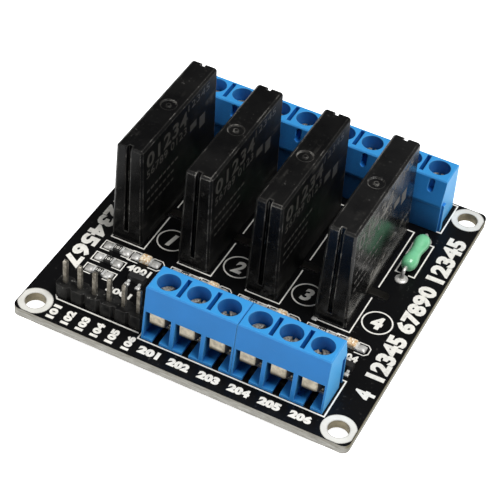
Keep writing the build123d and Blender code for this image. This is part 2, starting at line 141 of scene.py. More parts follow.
def blob(x, y, half_x, half_y, low, rise, edge=0.06, power=4, steps=11):
    """A soft mound on a rectangle with bowed-in corners.

    Places are x + half_x * u * (1 - 0.08 v^2) and the same in y; height is
    edge + rise * sqrt((1 - |u|^power) * (1 - |v|^power)).
    """
    u, v = square_grid(steps)
    px, py = x + half_x * u * (1 - 0.08 * v ** 2), y + half_y * v * (1 - 0.08 * u ** 2)
    swell = np.sqrt(np.clip((1 - np.abs(u) ** power) * (1 - np.abs(v) ** power), 0, 1))
    return mound(px, py, low + edge + rise * swell, low)


def ribbon(points, width, closed=False, low=BOARD_TOP - 0.01, high=BOARD_TOP + 0.03):
    """A flat line of one width with mitred corners, as a thin closed bar.

    The two sides are points +- (n1 + n2) / (1 + n1 . n2) * width / 2, where n1 and
    n2 are the left-hand normals of the runs before and after each point.
    """
    points = np.asarray(points, float)
    runs = np.roll(points, -1, axis=0) - points
    runs = runs if closed else runs[:-1]
    runs = runs / np.linalg.norm(runs, axis=1)[:, None]
    normal = np.column_stack([-runs[:, 1], runs[:, 0]])
    before = np.roll(normal, 1, axis=0) if closed else np.vstack([normal[:1], normal])
    after = normal if closed else np.vstack([normal, normal[-1:]])
    reach = (before + after) / (1 + (before * after).sum(1))[:, None] * width / 2
    n = len(points)
    left, right = points + reach, points - reach
    ring = np.stack([np.column_stack([side, np.full(n, z)])
                     for side, z in ((left, high), (right, high), (right, low), (left, low))], 1)
    if closed:
        ring = np.concatenate([ring, ring[:1]])
        faces = lattice(n + 1, 4, wrap=True) % (4 * n)
        return ring[:-1].reshape(-1, 3), faces.tolist()
    faces = lattice(n, 4, wrap=True).tolist()
    last = 4 * (n - 1)
    return ring.reshape(-1, 3), faces + [[last, last + 1, last + 2, last + 3], [3, 2, 1, 0]]


def arc(x, y, radius, steps=48):
    """Points once round a circle."""
    t = np.linspace(0, 2 * math.pi, steps, endpoint=False)
    return np.column_stack([x + radius * np.cos(t), y + radius * np.sin(t)])


def numerals(text, height, length=None, bold=0.03, lean=0.0):
    """Plain bold numbers lying on XY about the origin, one unit thick, from Blender's font.

    They are scaled to height, and along the line to length where one is given.
    """
    curve = bpy.data.curves.new("numerals", "FONT")
    curve.body, curve.align_x, curve.align_y = text, "CENTER", "CENTER"
    curve.offset, curve.extrude, curve.shear, curve.resolution_u = bold, 0.5, lean, 3
    curve.space_character = 1.06
    holder = bpy.data.objects.new("numerals", curve)
    mesh = bpy.data.meshes.new_from_object(holder)
    work = bmesh.new()
    work.from_mesh(mesh)
    bmesh.ops.remove_doubles(work, verts=work.verts, dist=1e-5)
    points = np.array([vert.co for vert in work.verts], float)
    faces = [[vert.index for vert in face.verts] for face in work.faces]
    work.free()
    bpy.data.objects.remove(holder)
    bpy.data.curves.remove(curve)
    bpy.data.meshes.remove(mesh)
    low, high = points.min(0), points.max(0)
    points[:, :2] -= (low[:2] + high[:2]) / 2
    grow = height / (high[1] - low[1])
    points[:, 1] *= grow
    points[:, 0] *= length / (high[0] - low[0]) if length else grow
    return points, faces


def laid(shape, x, y, turn=0.0, low=BOARD_TOP - 0.01, high=BOARD_TOP + 0.03):
    """Numbers set down on the board, turned by an angle in degrees."""
    points, faces = shape
    c, s = math.cos(math.radians(turn)), math.sin(math.radians(turn))
    u, v, w = points.T
    return np.column_stack([x + c * u - s * v, y + s * u + c * v,
                            low + (w + 0.5) * (high - low)]), faces


# Effects that several finishes share

class Net:
    """Adds nodes to one node tree. Each value it is given is a plain one or a socket."""

    def __init__(self, tree):
        self.nodes, self.links = tree.nodes, tree.links

    def join(self, value, socket):
        """Links a socket to an input, or sets the input to a plain value."""
        if isinstance(value, bpy.types.NodeSocket):
            self.links.new(value, socket)
        else:
            socket.default_value = value

    def place(self):
        """The place on the object."""
        return self.nodes.new("ShaderNodeTexCoord").outputs["Object"]

    def axes(self, vector):
        """The X, Y and Z of a vector."""
        split = self.nodes.new("ShaderNodeSeparateXYZ")
        self.join(vector, split.inputs[0])
        return split.outputs

    def facing(self):
        """The X, Y and Z of the way a face looks."""
        return self.axes(self.nodes.new("ShaderNodeNewGeometry").outputs["True Normal"])

    def maths(self, kind, first, second=None, clamp=False):
        """A Math node with one value or two."""
        made = self.nodes.new("ShaderNodeMath")
        made.operation, made.use_clamp = kind, clamp
        self.join(first, made.inputs[0])
        if second is not None:
            self.join(second, made.inputs[1])
        return made.outputs[0]

    def noise(self, place, scale, detail=3.0, rough=0.5):
        """Noise on a place in space; scale is in features per metre."""
        made = self.nodes.new("ShaderNodeTexNoise")
        made.inputs["Detail"].default_value = detail
        made.inputs["Roughness"].default_value = rough
        self.join(scale, made.inputs["Scale"])
        self.join(place, made.inputs["Vector"])
        return made.outputs["Fac"]

    def spread(self, value, low, high, to_low=0.0, to_high=1.0):
        """Maps low..high to to_low..to_high, clamped."""
        made = self.nodes.new("ShaderNodeMapRange")
        self.join(value, made.inputs["Value"])
        for socket, number in zip(made.inputs[1:5], (low, high, to_low, to_high)):
            socket.default_value = number
        return made.outputs["Result"]

    def blend(self, mask, first, second):
        """Mixes two colours by a mask."""
        made = self.nodes.new("ShaderNodeMix")
        made.data_type = "RGBA"
        self.join(mask, made.inputs[0])
        for socket, value in ((made.inputs[6], first), (made.inputs[7], second)):
            self.join((*value, 1.0) if isinstance(value, tuple) else value, socket)
        return made.outputs[2]

    def stretched(self, place, factors, turn=(0.0, 0.0, 0.0)):
        """A place turned and then stretched, for noise drawn out into fibres or scratches."""
        made = self.nodes.new("ShaderNodeMapping")
        made.inputs["Rotation"].default_value = turn
        made.inputs["Scale"].default_value = factors
        self.join(place, made.inputs["Vector"])
        return made.outputs[0]

    def effect(self, group, **values):
        """The outputs of a shared effect that has its own values."""
        made = self.nodes.new("ShaderNodeGroup")
        made.node_tree = group
        for label, value in values.items():
            made.inputs[label.replace("_", " ").title()].default_value = value
        return made.outputs

    def bump(self, shader, height, strength, distance=0.00002, normal=None):
        """A Bump node into the shader's Normal; distance is in metres."""
        made = self.nodes.new("ShaderNodeBump")
        made.inputs["Strength"].default_value = strength
        made.inputs["Distance"].default_value = distance
        self.join(height, made.inputs["Height"])
        if normal is not None:
            self.join(normal, made.inputs["Normal"])
        self.join(made.outputs[0], shader.inputs["Normal"])


def finish(name):
    """A new material, the net of its nodes and its Principled shader."""
    material = bpy.data.materials.new(name)
    material.use_nodes = True
    return material, Net(material.node_tree), material.node_tree.nodes["Principled BSDF"]


def new_effect(name, inputs, outputs):
    """A new node group, its net, and the sockets it is given and puts out.

    The inputs are numbers, each with its usual value. The outputs are numbers too, but
    for Normal, which is a direction.
    """
    group = bpy.data.node_groups.new(name, "ShaderNodeTree")
    for label, value in inputs.items():
        made = group.interface.new_socket(label, in_out="INPUT", socket_type="NodeSocketFloat")
        made.default_value = value
    for label in outputs:
        kind = "NodeSocketVector" if label == "Normal" else "NodeSocketFloat"
        group.interface.new_socket(label, in_out="OUTPUT", socket_type=kind)
    given, out = group.nodes.new("NodeGroupInput"), group.nodes.new("NodeGroupOutput")
    return group, Net(group), given.outputs, out.inputs


def build_soft_grain():
    """Moulded or cast surface: two sizes of noise, one a height and one a cloudy mask."""
    group, net, given, out = new_effect(
        "soft_grain", {"Grain Scale": 9000.0, "Cloud Scale": 300.0}, ("Height", "Cloud"))
    place = net.place()
    net.join(net.noise(place, given["Grain Scale"], 2.0), out["Height"])
    net.join(net.noise(place, given["Cloud Scale"], 4.0), out["Cloud"])
    return group


def build_round_edge():
    """Rounded-edge normal and a mask that is 1 on sharp edges."""
    group, net, given, out = new_effect(
        "round_edge", {"Radius": 0.00015, "Sharpness": 6.0}, ("Normal", "Edge"))
    bevel = net.nodes.new("ShaderNodeBevel")
    bevel.samples = 6
    net.join(given["Radius"], bevel.inputs["Radius"])
    flat = net.nodes.new("ShaderNodeNewGeometry").outputs["True Normal"]
    dot = net.nodes.new("ShaderNodeVectorMath")
    dot.operation = "DOT_PRODUCT"
    net.join(bevel.outputs[0], dot.inputs[0])
    net.join(flat, dot.inputs[1])
    gap = net.maths("SUBTRACT", 1.0, dot.outputs["Value"])
    net.join(net.maths("MULTIPLY", gap, given["Sharpness"], clamp=True), out["Edge"])
    net.join(bevel.outputs[0], out["Normal"])
    return group


def build_hollows():
    """Masks that are 0 on open faces and 1 where little light gets in.

    Mask is for a piece's own wells, slits and chambers; Shade is for the foot of the
    gaps between it and the pieces round it.
    """
    group, net, given, out = new_effect(
        "hollows", {"Reach": 0.0035, "Wide Reach": 0.016}, ("Mask", "Shade"))
    for own, reach, low, high, label in ((True, "Reach", 0.4, 0.95, "Mask"),
                                         (False, "Wide Reach", 0.12, 0.5, "Shade")):
        open_sky = net.nodes.new("ShaderNodeAmbientOcclusion")
        open_sky.samples, open_sky.only_local = 8, own
        net.join(given[reach], open_sky.inputs["Distance"])
        net.join(net.spread(open_sky.outputs["AO"], low, high, 1.0, 0.0), out[label])
    return group


def build_dust():
    """Fine pale dust: a mask of scattered specks, thicker on faces that look up."""
    group, net, given, out = new_effect(
        "dust", {"Amount": 0.3, "Speck Scale": 2500.0}, ("Mask",))
    place = net.place()
    specks = net.noise(place, given["Speck Scale"], 2.0)
    patches = net.noise(place, 260.0, 3.0)
    up = net.facing()
    speck = net.spread(specks, 0.64, 0.74)
    patch = net.spread(patches, 0.45, 0.7)
    settled = net.spread(up["Z"], -0.2, 1.0, 0.25, 1.0)
    mask = net.maths("MULTIPLY", net.maths("MULTIPLY", speck, patch), settled)
    net.join(net.maths("MULTIPLY", mask, given["Amount"], clamp=True), out["Mask"])
    return group


def build_scuffs():
    """Rubbed marks: long thin scratches in two directions, and smeared patches."""
    group, net, given, out = new_effect(
        "scuffs", {"Scratch Scale": 700.0, "Patch Scale": 140.0}, ("Scratches", "Patches"))
    place = net.place()
    marks = []
    for turn in ((0.25, 0.0, 0.5), (-0.9, 0.3, -0.35)):
        drawn = net.stretched(place, (1.0, 0.12, 1.0), turn)
        line = net.noise(drawn, given["Scratch Scale"], 3.0, 0.7)
        marks.append(net.spread(line, 0.60, 0.68))
    both = net.maths("MAXIMUM", *marks)
    cloud = net.noise(place, given["Patch Scale"], 6.0, 0.62)
    where = net.spread(cloud, 0.48, 0.56)
    net.join(net.maths("MULTIPLY", both, where), out["Scratches"])
    net.join(net.spread(cloud, 0.5, 0.7), out["Patches"])
    return group


SOFT_GRAIN, ROUND_EDGE = build_soft_grain(), build_round_edge()
DUST, SCUFFS, HOLLOWS = build_dust(), build_scuffs(), build_hollows()


# Finishes

TONE_BAND, ROUGH_BAND = (0.35, 0.65), (0.3, 0.7)
DUST_TONE = (0.55, 0.54, 0.5)


def moulded(name, colour, deep, edge, rough, grain=0.12, radius=0.00016, dust=0.2,
            cloud_scale=300.0, coat=0.0, edge_share=0.5, gloss=0.5):
    """Moulded plastic: cloudy tone, rounded edges with a pale painted highlight, fine grain and a
    little dust.
    """
    material, net, shader = finish(name)
    skin = net.effect(SOFT_GRAIN, cloud_scale=cloud_scale)
    rim = net.effect(ROUND_EDGE, radius=radius)
    specks = net.effect(DUST, amount=dust)
    tone = net.blend(net.spread(skin["Cloud"], *TONE_BAND), deep, colour)
    # painted highlight: rounded edges are paler, by edge_share
    tone = net.blend(net.maths("MULTIPLY", rim["Edge"], edge_share), tone, edge)
    tone = net.blend(specks["Mask"], tone, DUST_TONE)
    net.join(tone, shader.inputs["Base Color"])
    net.join(net.spread(skin["Cloud"], *ROUGH_BAND, rough - 0.08, rough + 0.08),
             shader.inputs["Roughness"])
    net.bump(shader, skin["Height"], grain, normal=rim["Normal"])
    shader.inputs["Specular IOR Level"].default_value = gloss
    shader.inputs["Coat Weight"].default_value = coat
    shader.inputs["Coat Roughness"].default_value = 0.12
    return material


def metal(name, colour, dull, rough, scale=900.0, grain=0.15, radius=0.00012, share=1.0,
          foot=None):
    """Plated or tinned metal: patchy tone and roughness, soft edges.

    A share under 1 mixes in the matt grey of oxide and flux. A foot is two heights above
    the board: the metal is painted dark brown as shade under the first and left clean over
    the second, and on the faces that look to the right too.
    """
    material, net, shader = finish(name)
    skin = net.effect(SOFT_GRAIN, grain_scale=6000.0, cloud_scale=scale)
    rim = net.effect(ROUND_EDGE, radius=radius)
    tone = net.blend(net.spread(skin["Cloud"], *TONE_BAND), dull, colour)
    if foot is not None:
        low, high = ((BOARD_TOP + z) * MM for z in foot)
        # painted shade: dark brown low down and on faces that look to the right
        foot_shade = net.spread(net.axes(net.place())["Z"], low, high, 1.0, 0.0)
        foot_shade = net.maths("MAXIMUM", foot_shade, net.spread(net.facing()["X"], 0.3, 0.6))
        tone = net.blend(foot_shade, tone, (0.050, 0.042, 0.030))
    net.join(tone, shader.inputs["Base Color"])
    net.join(net.spread(skin["Cloud"], *ROUGH_BAND, rough + 0.12, rough - 0.08),
             shader.inputs["Roughness"])
    shader.inputs["Metallic"].default_value = share
    net.bump(shader, skin["Height"], grain, 0.00003, rim["Normal"])
    return material


def terminal_finish():
    """Blue terminal plastic: painted light makes it paler on top and to the right, and painted
    shade makes it deeper in wells and slits.
    """
    deep, plain = (0.0175, 0.192, 0.53), (0.0215, 0.212, 0.58)
    # painted light colours for faces that look up and to the right, and for the rounded edges
    top, right, edge_highlight = (0.038, 0.290, 0.66), (0.085, 0.420, 0.83), (0.14, 0.44, 0.78)
    # painted shade colours for the gaps round the block and for its own wells, slits and chambers
    shaded, well_shade = (0.014, 0.070, 0.21), (0.010, 0.150, 0.52)
    material, net, shader = finish("terminal_blue")
    up = net.facing()
    skin = net.effect(SOFT_GRAIN, cloud_scale=180.0)
    rim = net.effect(ROUND_EDGE, radius=0.0002)
    specks = net.effect(DUST, amount=0.12)
    hollow = net.effect(HOLLOWS)
    tone = net.blend(net.spread(skin["Cloud"], *TONE_BAND), deep, plain)
    # painted light: faces that look up are paler
    tone = net.blend(net.spread(up["Z"], 0.6, 0.95), tone, top)
    # painted light: faces that look to the right are paler still
    tone = net.blend(net.spread(up["X"], 0.6, 0.95), tone, right)
    # painted highlight: the rounded edges are paler
    tone = net.blend(net.maths("MULTIPLY", rim["Edge"], 0.55), tone, edge_highlight)
    # painted shade: darker at the foot of the gaps round the block, and a deep blue in its own
    # wells, slits and chambers
    tone = net.blend(hollow["Shade"], tone, shaded)
    tone = net.blend(hollow["Mask"], tone, well_shade)
    tone = net.blend(specks["Mask"], tone, DUST_TONE)
    net.join(tone, shader.inputs["Base Color"])
    net.join(net.spread(skin["Cloud"], *ROUGH_BAND, 0.38, 0.5), shader.inputs["Roughness"])
    shader.inputs["Specular IOR Level"].default_value = 0.25
    net.bump(shader, skin["Height"], 0.12, normal=rim["Normal"])
    return material


def relay_finish(name, gloss, rubbing):
    """Black relay cases: matt top and sides, glossier ends, grey edges that are a patchy painted
    highlight, pale worn nicks and scuffs.

    Where a share of rubbing is given, the right-hand side is glossier too, and rubbed by
    that share.
    """
    deep, plain = (0.0028, 0.0028, 0.0030), (0.0055, 0.0054, 0.0054)
    smeared, scratched = (0.075, 0.071, 0.062), (0.21, 0.20, 0.18)
    # the first is a painted edge highlight; the nicks and dust are wear
    edge_highlight, nicked, dusty = (0.10, 0.096, 0.088), (0.50, 0.48, 0.44), (0.4, 0.39, 0.36)
    material, net, shader = finish(name)
    place = net.place()
    up = net.facing()
    skin = net.effect(SOFT_GRAIN, grain_scale=7000.0, cloud_scale=240.0)
    rim = net.effect(ROUND_EDGE, radius=0.0003, sharpness=5.0)
    specks = net.effect(DUST, amount=0.16)
    rubbed = net.effect(SCUFFS, scratch_scale=330.0)
    tone = net.blend(net.spread(skin["Cloud"], *TONE_BAND), deep, plain)
    outer = net.maths("MULTIPLY", net.spread(up["X"], 0.5, 0.9), 1.0 if rubbing else 0.0)
    amount = net.maths("ADD", net.spread(up["Z"], 0.5, 0.9, 0.2, 0.08),
                       net.maths("MULTIPLY", outer, rubbing))
    marks = net.maths("MULTIPLY", rubbed["Scratches"], amount, clamp=True)
    smear = net.maths("MULTIPLY", rubbed["Patches"], net.maths("MULTIPLY", amount, 0.45),
                      clamp=True)
    tone = net.blend(smear, tone, smeared)
    tone = net.blend(marks, tone, scratched)
    # painted highlight: a patchy grey along the rounded edges
    edge = net.maths("MULTIPLY", rim["Edge"], net.spread(skin["Cloud"], 0.3, 0.6, 0.25, 0.75))
    tone = net.blend(edge, tone, edge_highlight)
    nicks = net.spread(net.noise(place, 420.0, 4.0, 0.6), 0.52, 0.6)
    tone = net.blend(net.maths("MULTIPLY", edge, nicks), tone, nicked)
    tone = net.blend(specks["Mask"], tone, dusty)
    net.join(tone, shader.inputs["Base Color"])
    sideways = net.spread(net.maths("ABSOLUTE", up["X"]), 0.5, 0.9)
    inner = net.maths("SUBTRACT", sideways, outer)
    matt = net.maths("ADD", net.maths("MULTIPLY", inner, 0.28),
                     net.spread(up["Z"], 0.5, 0.9, 0.0, 0.09))
    rough = net.maths("ADD", net.spread(skin["Cloud"], *ROUGH_BAND, 0.15, 0.29), matt)
    net.join(rough, shader.inputs["Roughness"])
    shader.inputs["Specular IOR Level"].default_value = gloss
    net.bump(shader, skin["Height"], 0.12, normal=rim["Normal"])
    return material


def on_faces(net, height, margin):
    """A mask that is 1 at the board's two faces, within a margin, and beyond them."""
    above = net.maths("GREATER_THAN", height, (BOARD_TOP - margin) * MM)
    below = net.maths("LESS_THAN", height, (BOARD_LOW + margin) * MM)
    return net.maths("ADD", above, below, clamp=True)


def board_finish():
    """Black solder mask on the faces, bare laminate on the outer edges, and dark painted shade on
    the inner cut walls such as the slots.
    """
    rim_width = 1.25
    deep, plain, dusty = (0.0012, 0.0012, 0.0016), (0.0024, 0.0023, 0.0027), (0.25, 0.24, 0.22)
    dark_fibre, pale_fibre = (0.22, 0.21, 0.18), (0.55, 0.54, 0.50)
    slot_shade, shaded, resin = (0.075, 0.070, 0.060), (0.20, 0.19, 0.15), (0.17, 0.147, 0.085)
    material, net, shader = finish("solder_mask_board")
    place = net.place()
    spot = net.axes(place)
    lit = net.spread(net.facing()["X"], 0.5, 0.9)
    face = on_faces(net, spot["Z"], 0.02)
    far_x = net.maths("GREATER_THAN", net.maths("ABSOLUTE", spot["X"]), (-LEFT - rim_width) * MM)
    far_y = net.maths("GREATER_THAN", net.maths("ABSOLUTE", spot["Y"]), (-FRONT - rim_width) * MM)
    outside = net.maths("MAXIMUM", far_x, far_y)
    skin = net.effect(SOFT_GRAIN, grain_scale=3500.0, cloud_scale=220.0)
    specks = net.effect(DUST, amount=0.25, speck_scale=1800.0)
    mask = net.blend(net.spread(skin["Cloud"], 0.35, 0.7), deep, plain)
    mask = net.blend(specks["Mask"], mask, dusty)
    fibre = net.noise(net.stretched(place, (1.0, 1.0, 9.0)), 620.0, 5.0, 0.7)
    core = net.blend(net.spread(fibre, 0.3, 0.7), dark_fibre, pale_fibre)
    # painted shade: the laminate is darker on faces that look to the right, where the light is
    # strongest
    core = net.blend(net.maths("MULTIPLY", lit, 0.55), core, shaded)
    skirt = net.spread(spot["Z"], (BOARD_TOP - 0.8) * MM, (BOARD_TOP - 0.5) * MM)
    # partly the laminate's own resin band, partly painted shade: the band is stronger on faces
    # that look to the right
    skirt = net.maths("MULTIPLY", skirt, net.spread(lit, 0.0, 1.0, 0.22, 1.0))
    core = net.blend(skirt, core, resin)
    # painted shade: dark on every cut wall inside the outer edges
    cut = net.blend(outside, slot_shade, core)
    net.join(net.blend(face, cut, mask), shader.inputs["Base Color"])
    net.join(net.spread(face, 0.0, 1.0, 0.8, 0.36), shader.inputs["Roughness"])
    shader.inputs["Specular IOR Level"].default_value = 0.22
    net.bump(shader, skin["Height"], 0.18)
    return material


def ring_finish():
    """Tinned rings, pale on the flat and brown inside the plated hole."""
    material, net, shader = finish("tinned_rings")
    face = on_faces(net, net.axes(net.place())["Z"], 0.04)
    skin = net.effect(SOFT_GRAIN, grain_scale=4000.0, cloud_scale=500.0)
    rim = net.effect(ROUND_EDGE, radius=0.0003, sharpness=5.0)
    cloud = net.spread(skin["Cloud"], *TONE_BAND)
    flat = net.blend(cloud, (0.66, 0.65, 0.60), (0.76, 0.75, 0.70))
    # painted shade: the rounded rims are darker
    flat = net.blend(rim["Edge"], flat, (0.36, 0.35, 0.31))
    wall = net.blend(cloud, (0.13, 0.11, 0.065), (0.30, 0.26, 0.17))
    net.join(net.blend(face, wall, flat), shader.inputs["Base Color"])
    net.join(net.spread(cloud, 0.0, 1.0, 0.5, 0.36), shader.inputs["Roughness"])
    net.join(net.spread(face, 0.0, 1.0, 0.55, 0.0), shader.inputs["Metallic"])
    net.bump(shader, skin["Height"], 0.1)
    return material


def print_finish(name, colour, rough=0.55):
    """Screen print: nearly flat ink, a little thin in places."""
    material, net, shader = finish(name)
    skin = net.effect(SOFT_GRAIN, grain_scale=9000.0, cloud_scale=1500.0)
    thin = tuple(c * 0.8 for c in colour)
    net.join(net.blend(net.spread(skin["Cloud"], 0.3, 0.5), thin, colour),
             shader.inputs["Base Color"])
    shader.inputs["Roughness"].default_value = rough
    net.bump(shader, skin["Height"], 0.2, 0.00001)
    return material


def lamp_finish():
    """Cast cream lens with tan patches and a coarse, beaded skin."""
    tan, cream, pale = (0.62, 0.38, 0.18), (0.90, 0.74, 0.50), (0.97, 0.93, 0.82)
    material, net, shader = finish("lamp_cream")
    place = net.place()
    cloud = net.noise(place, 1500.0, 3.0)
    beads = net.noise(place, 3200.0, 1.0)
    tone = net.blend(net.spread(cloud, 0.38, 0.62), tan, cream)
    tone = net.blend(net.spread(beads, 0.52, 0.62), tone, pale)
    net.join(tone, shader.inputs["Base Color"])
    shader.inputs["Roughness"].default_value = 0.32
    net.bump(shader, beads, 0.5, 0.00012)
    return material


BLUE = terminal_finish()
RELAY = relay_finish("relay_black", 0.14, 0.0)
RUBBED_RELAY = relay_finish("relay_black_rubbed", 0.36, 0.86)
RESIN = moulded("relay_resin", (0.012, 0.012, 0.012), (0.009, 0.009, 0.009),
                (0.03, 0.03, 0.03), 0.5)
HEADER = moulded("header_black", (0.0200, 0.0195, 0.0185), (0.0018, 0.0018, 0.0022),
                 (0.09, 0.086, 0.080), 0.42, radius=0.00014, dust=0.8, edge_share=0.55,
                 cloud_scale=900.0, gloss=0.3)
CHIP_BODY = moulded("chip_black", (0.030, 0.030, 0.029), (0.018, 0.018, 0.018),
                    (0.12, 0.12, 0.115), 0.45, radius=0.00008, dust=0.1, gloss=0.3)
CHIP_MOULD = moulded("chip_mould", (0.016, 0.015, 0.015), (0.011, 0.011, 0.011),
                     (0.05, 0.05, 0.048), 0.5, radius=0.00008, dust=0.2)
LAMP = lamp_finish()
FUSE = moulded("fuse_green", (0.20, 0.60, 0.33), (0.15, 0.49, 0.25), (0.30, 0.68, 0.42),
               0.34, radius=0.00005, dust=0.03, cloud_scale=500.0, coat=0.5, grain=0.05)
# the foot is painted shade on the lower part and the right-hand faces of the guard lips
CLAMP = metal("clamp_metal", (0.82, 0.74, 0.58), (0.52, 0.46, 0.35), 0.42, scale=1400.0,
              share=0.5, foot=(3.2, 3.75))
SCREW = metal("screw_steel", (0.72, 0.66, 0.52), (0.07, 0.060, 0.045), 0.40, scale=3000.0,
              grain=0.6, share=0.6)
CONTACT = metal("contact_tin", (0.66, 0.64, 0.58), (0.5, 0.48, 0.42), 0.35)
PIN = metal("pin_metal", (0.42, 0.39, 0.33), (0.14, 0.125, 0.10), 0.36, scale=1300.0,
            share=0.8)
LEAD = metal("lead_tin", (0.70, 0.69, 0.66), (0.48, 0.47, 0.44), 0.36, share=0.6)
SOLDER = metal("solder", (0.74, 0.73, 0.70), (0.36, 0.35, 0.33), 0.42, scale=700.0,
               radius=0.00008, share=0.35)
CHIP_METAL = metal("chip_metal", (0.86, 0.86, 0.84), (0.42, 0.42, 0.40), 0.4, scale=1300.0,
                   share=0.3)
BOARD = board_finish()
RINGS = ring_finish()
INK = print_finish("board_print", (0.82, 0.80, 0.74))
FAINT_INK = print_finish("relay_print", (0.056, 0.053, 0.047), 0.5)

# Each node takes the first finish whose words its name starts with
BY_START = (
    ("board", BOARD), ("hole_plating", RINGS), ("relay_case_4", RUBBED_RELAY),
    ("relay_case", RELAY), ("relay_resin", RESIN), ("relay_leads", LEAD),
    ("fuse_body", FUSE), ("fuse_leads", LEAD), ("fuse_solder", SOLDER),
    ("lead_solder", SOLDER), ("pad_solder", SOLDER), ("header_base", HEADER),
    ("header_pins", PIN), ("lamp_caps", CHIP_METAL), ("lamp_", LAMP),
    ("resistor_caps", CHIP_METAL), ("resistors", CHIP_BODY),
    ("transistor_legs", CHIP_METAL), ("transistors", CHIP_MOULD),
    ("input_housing", BLUE), ("output_housing", BLUE), ("input_clamps", CLAMP),
    ("output_clamps", CLAMP), ("input_screws", SCREW), ("output_screws", SCREW),
    ("input_contacts", CONTACT), ("output_contacts", CONTACT),
)
for name, node in NODES.items():
    made = next(material for start, material in BY_START if name.startswith(start))
    for holder in node.material_slots:
        holder.material = made


# Screws, fuses, solder and lamps, in place of the plain solids

def upright(x, y, z):
    """Points one over another at the heights given."""
    return np.column_stack([np.full_like(z, x), np.full_like(z, y), z])


def slotted_head(x, y, turn, low, high, radius=1.6, slot=0.5, deep=0.6):
    """A round screw head with one straight slot.

    Rows run along the slot: a row at u from its middle spans v = +-sqrt(radius^2 - u^2).
    Height is high - 0.2 * (distance from the middle / radius)^8, less the slot's depth
    in the rows inside the slot. The same rows at the foot close it.
    """
    half, edge_rows = slot / 2, 8
    side = radius * np.cos(np.linspace(0.12, math.acos(half / radius), edge_rows))
    u = np.concatenate([-side, [-half + 0.01, half - 0.01], side[::-1]])[:, None]
    cut = np.zeros_like(u)
    cut[edge_rows:-edge_rows] = deep
    across = np.sin(np.linspace(-math.pi / 2, math.pi / 2, 13))[None, :]
    v = across * np.sqrt(radius ** 2 - u ** 2)
    far = np.sqrt(u ** 2 + v ** 2) / radius
    top = high - 0.2 * far ** 8 - cut
    c, s = math.cos(math.radians(turn)), math.sin(math.radians(turn))
    px, py = x + c * v - s * u, y + s * v + c * u
    return mound(px[::-1], py[::-1], top[::-1], low)


def threaded_shank(x, y, low, high):
    """The screw below its head: radius 1.05 with ridges, +0.09 and -0.09 by turns."""
    steps = 17
    z = np.linspace(low, high, steps)
    radii = 1.05 + 0.09 * np.where(np.arange(steps) % 2, 1.0, -1.0)
    return swept(upright(x, y, z), radii, 20)


def blocks():
    """Each terminal block: kind, tag, its poles' places, its screw line and the way it faces."""
    for tag, x in zip(("left", "right"), INPUTS):
        yield "input", tag, x + POLE * np.array([-1.0, 0.0, 1.0]), INPUT_Y, -1
    for k, x in enumerate(OUTPUTS):
        yield "output", str(k + 1), x + POLE * np.array([-0.5, 0.5]), OUTPUT_Y, 1


SHANK_FOOT, HEAD_FOOT, HEAD_TOP = BOARD_TOP + 3.6, BOARD_TOP + 6.6, BOARD_TOP + 7.8
for kind, tag, poles, y, face in blocks():
    parts = []
    for k, x in enumerate(poles):
        parts.append(slotted_head(x, y, 68 + 27 * k, HEAD_FOOT, HEAD_TOP))
        parts.append(threaded_shank(x, y, SHANK_FOOT, HEAD_FOOT))
    piece(f"slotted_screws_{kind}_{tag}", parts, SCREW,
          [f"{kind}_screws_{tag}"])


def guard_lip(x, y, face):
    """The turned-up front of a wire guard, rounded off at one corner.

    u runs -1 to 1 across and t from 0 at the top to 1 at the foot. Height is
    5.3 - (2.9 - 0.8 * c^2) * t, where c is how far u is past 0.1, as a share. The face
    lies 2.74 - 0.9 * a^2 - 0.8 * b^2 out from the screw, a being how far t is past 0.7
    and b how far u is past 0.45, as shares.
    """
    u, t = np.meshgrid(np.linspace(-1, 1, 17), np.linspace(0, 1, 13), indexing="ij")
    corner, curl, turned = (np.clip(v, 0, 1) for v in (
        (u - 0.1) / 0.9, (t - 0.7) / 0.3, (u - 0.45) / 0.55))
    high = BOARD_TOP + 5.3 - (2.9 - 0.8 * corner ** 2) * t
    out = 2.74 - 0.9 * curl ** 2 - 0.8 * turned ** 2
    front = np.stack([x + 1.5 * u, y + face * out, high], -1)
    back = np.stack([x + 1.5 * u, y + face * (out - 0.25), high], -1)
    return shell(front, back) if face > 0 else shell(front[::-1], back[::-1])


def guard_leaf(x, y):
    """The leaf of a wire guard, under the screw and a little hollow.

    u and v run -1 to 1 over 3.4 by 4.05 mm. Height is 3.5 + 0.1 * max(u^2, v^2), and the
    underside is level at 3.2.
    """
    side = np.linspace(-1, 1, 7)
    u, v = np.meshgrid(side, side, indexing="ij")
    px, py = x + 1.7 * u, y + 2.025 * v
    top = BOARD_TOP + 3.5 + 0.1 * np.maximum(u ** 2, v ** 2)
    return mound(px, py, top, BOARD_TOP + 3.2)


for kind, tag, poles, y, face in blocks():
    parts = []
    for x in poles:
        parts.append(guard_lip(x, y, face))
        parts.append(guard_leaf(x, y - face * 0.025))
    piece(f"wire_guards_{kind}_{tag}", parts, CLAMP, [f"{kind}_clamps_{tag}"])


def fuse_shell(x):
    """A fuse body: two bulbs and a waist, turned about a line along Y.

    Radius is 1.3 - 0.3 * cos^2(pi * y / 5) within 2.5 mm of the middle, and
    0.5 + 0.8 * sqrt(1 - t^2) beyond, t running from 0 there to 1 at the end.
    """
    waist, end = 2.5, 3.95
    y = np.concatenate([np.linspace(-end, -waist, 9)[:-1], np.linspace(-waist, waist, 21),
                        np.linspace(waist, end, 9)[1:]])
    t = np.clip((np.abs(y) - waist) / (end - waist), 0, 1)
    radii = np.where(np.abs(y) < waist, 1.3 - 0.3 * np.cos(math.pi * y / 5) ** 2,
                     0.5 + 0.8 * np.sqrt(1 - t ** 2))
    path = np.column_stack([np.full_like(y, x), FUSE_Y + y, np.full_like(y, FUSE_Z)])
    return swept(path, radii, 28)


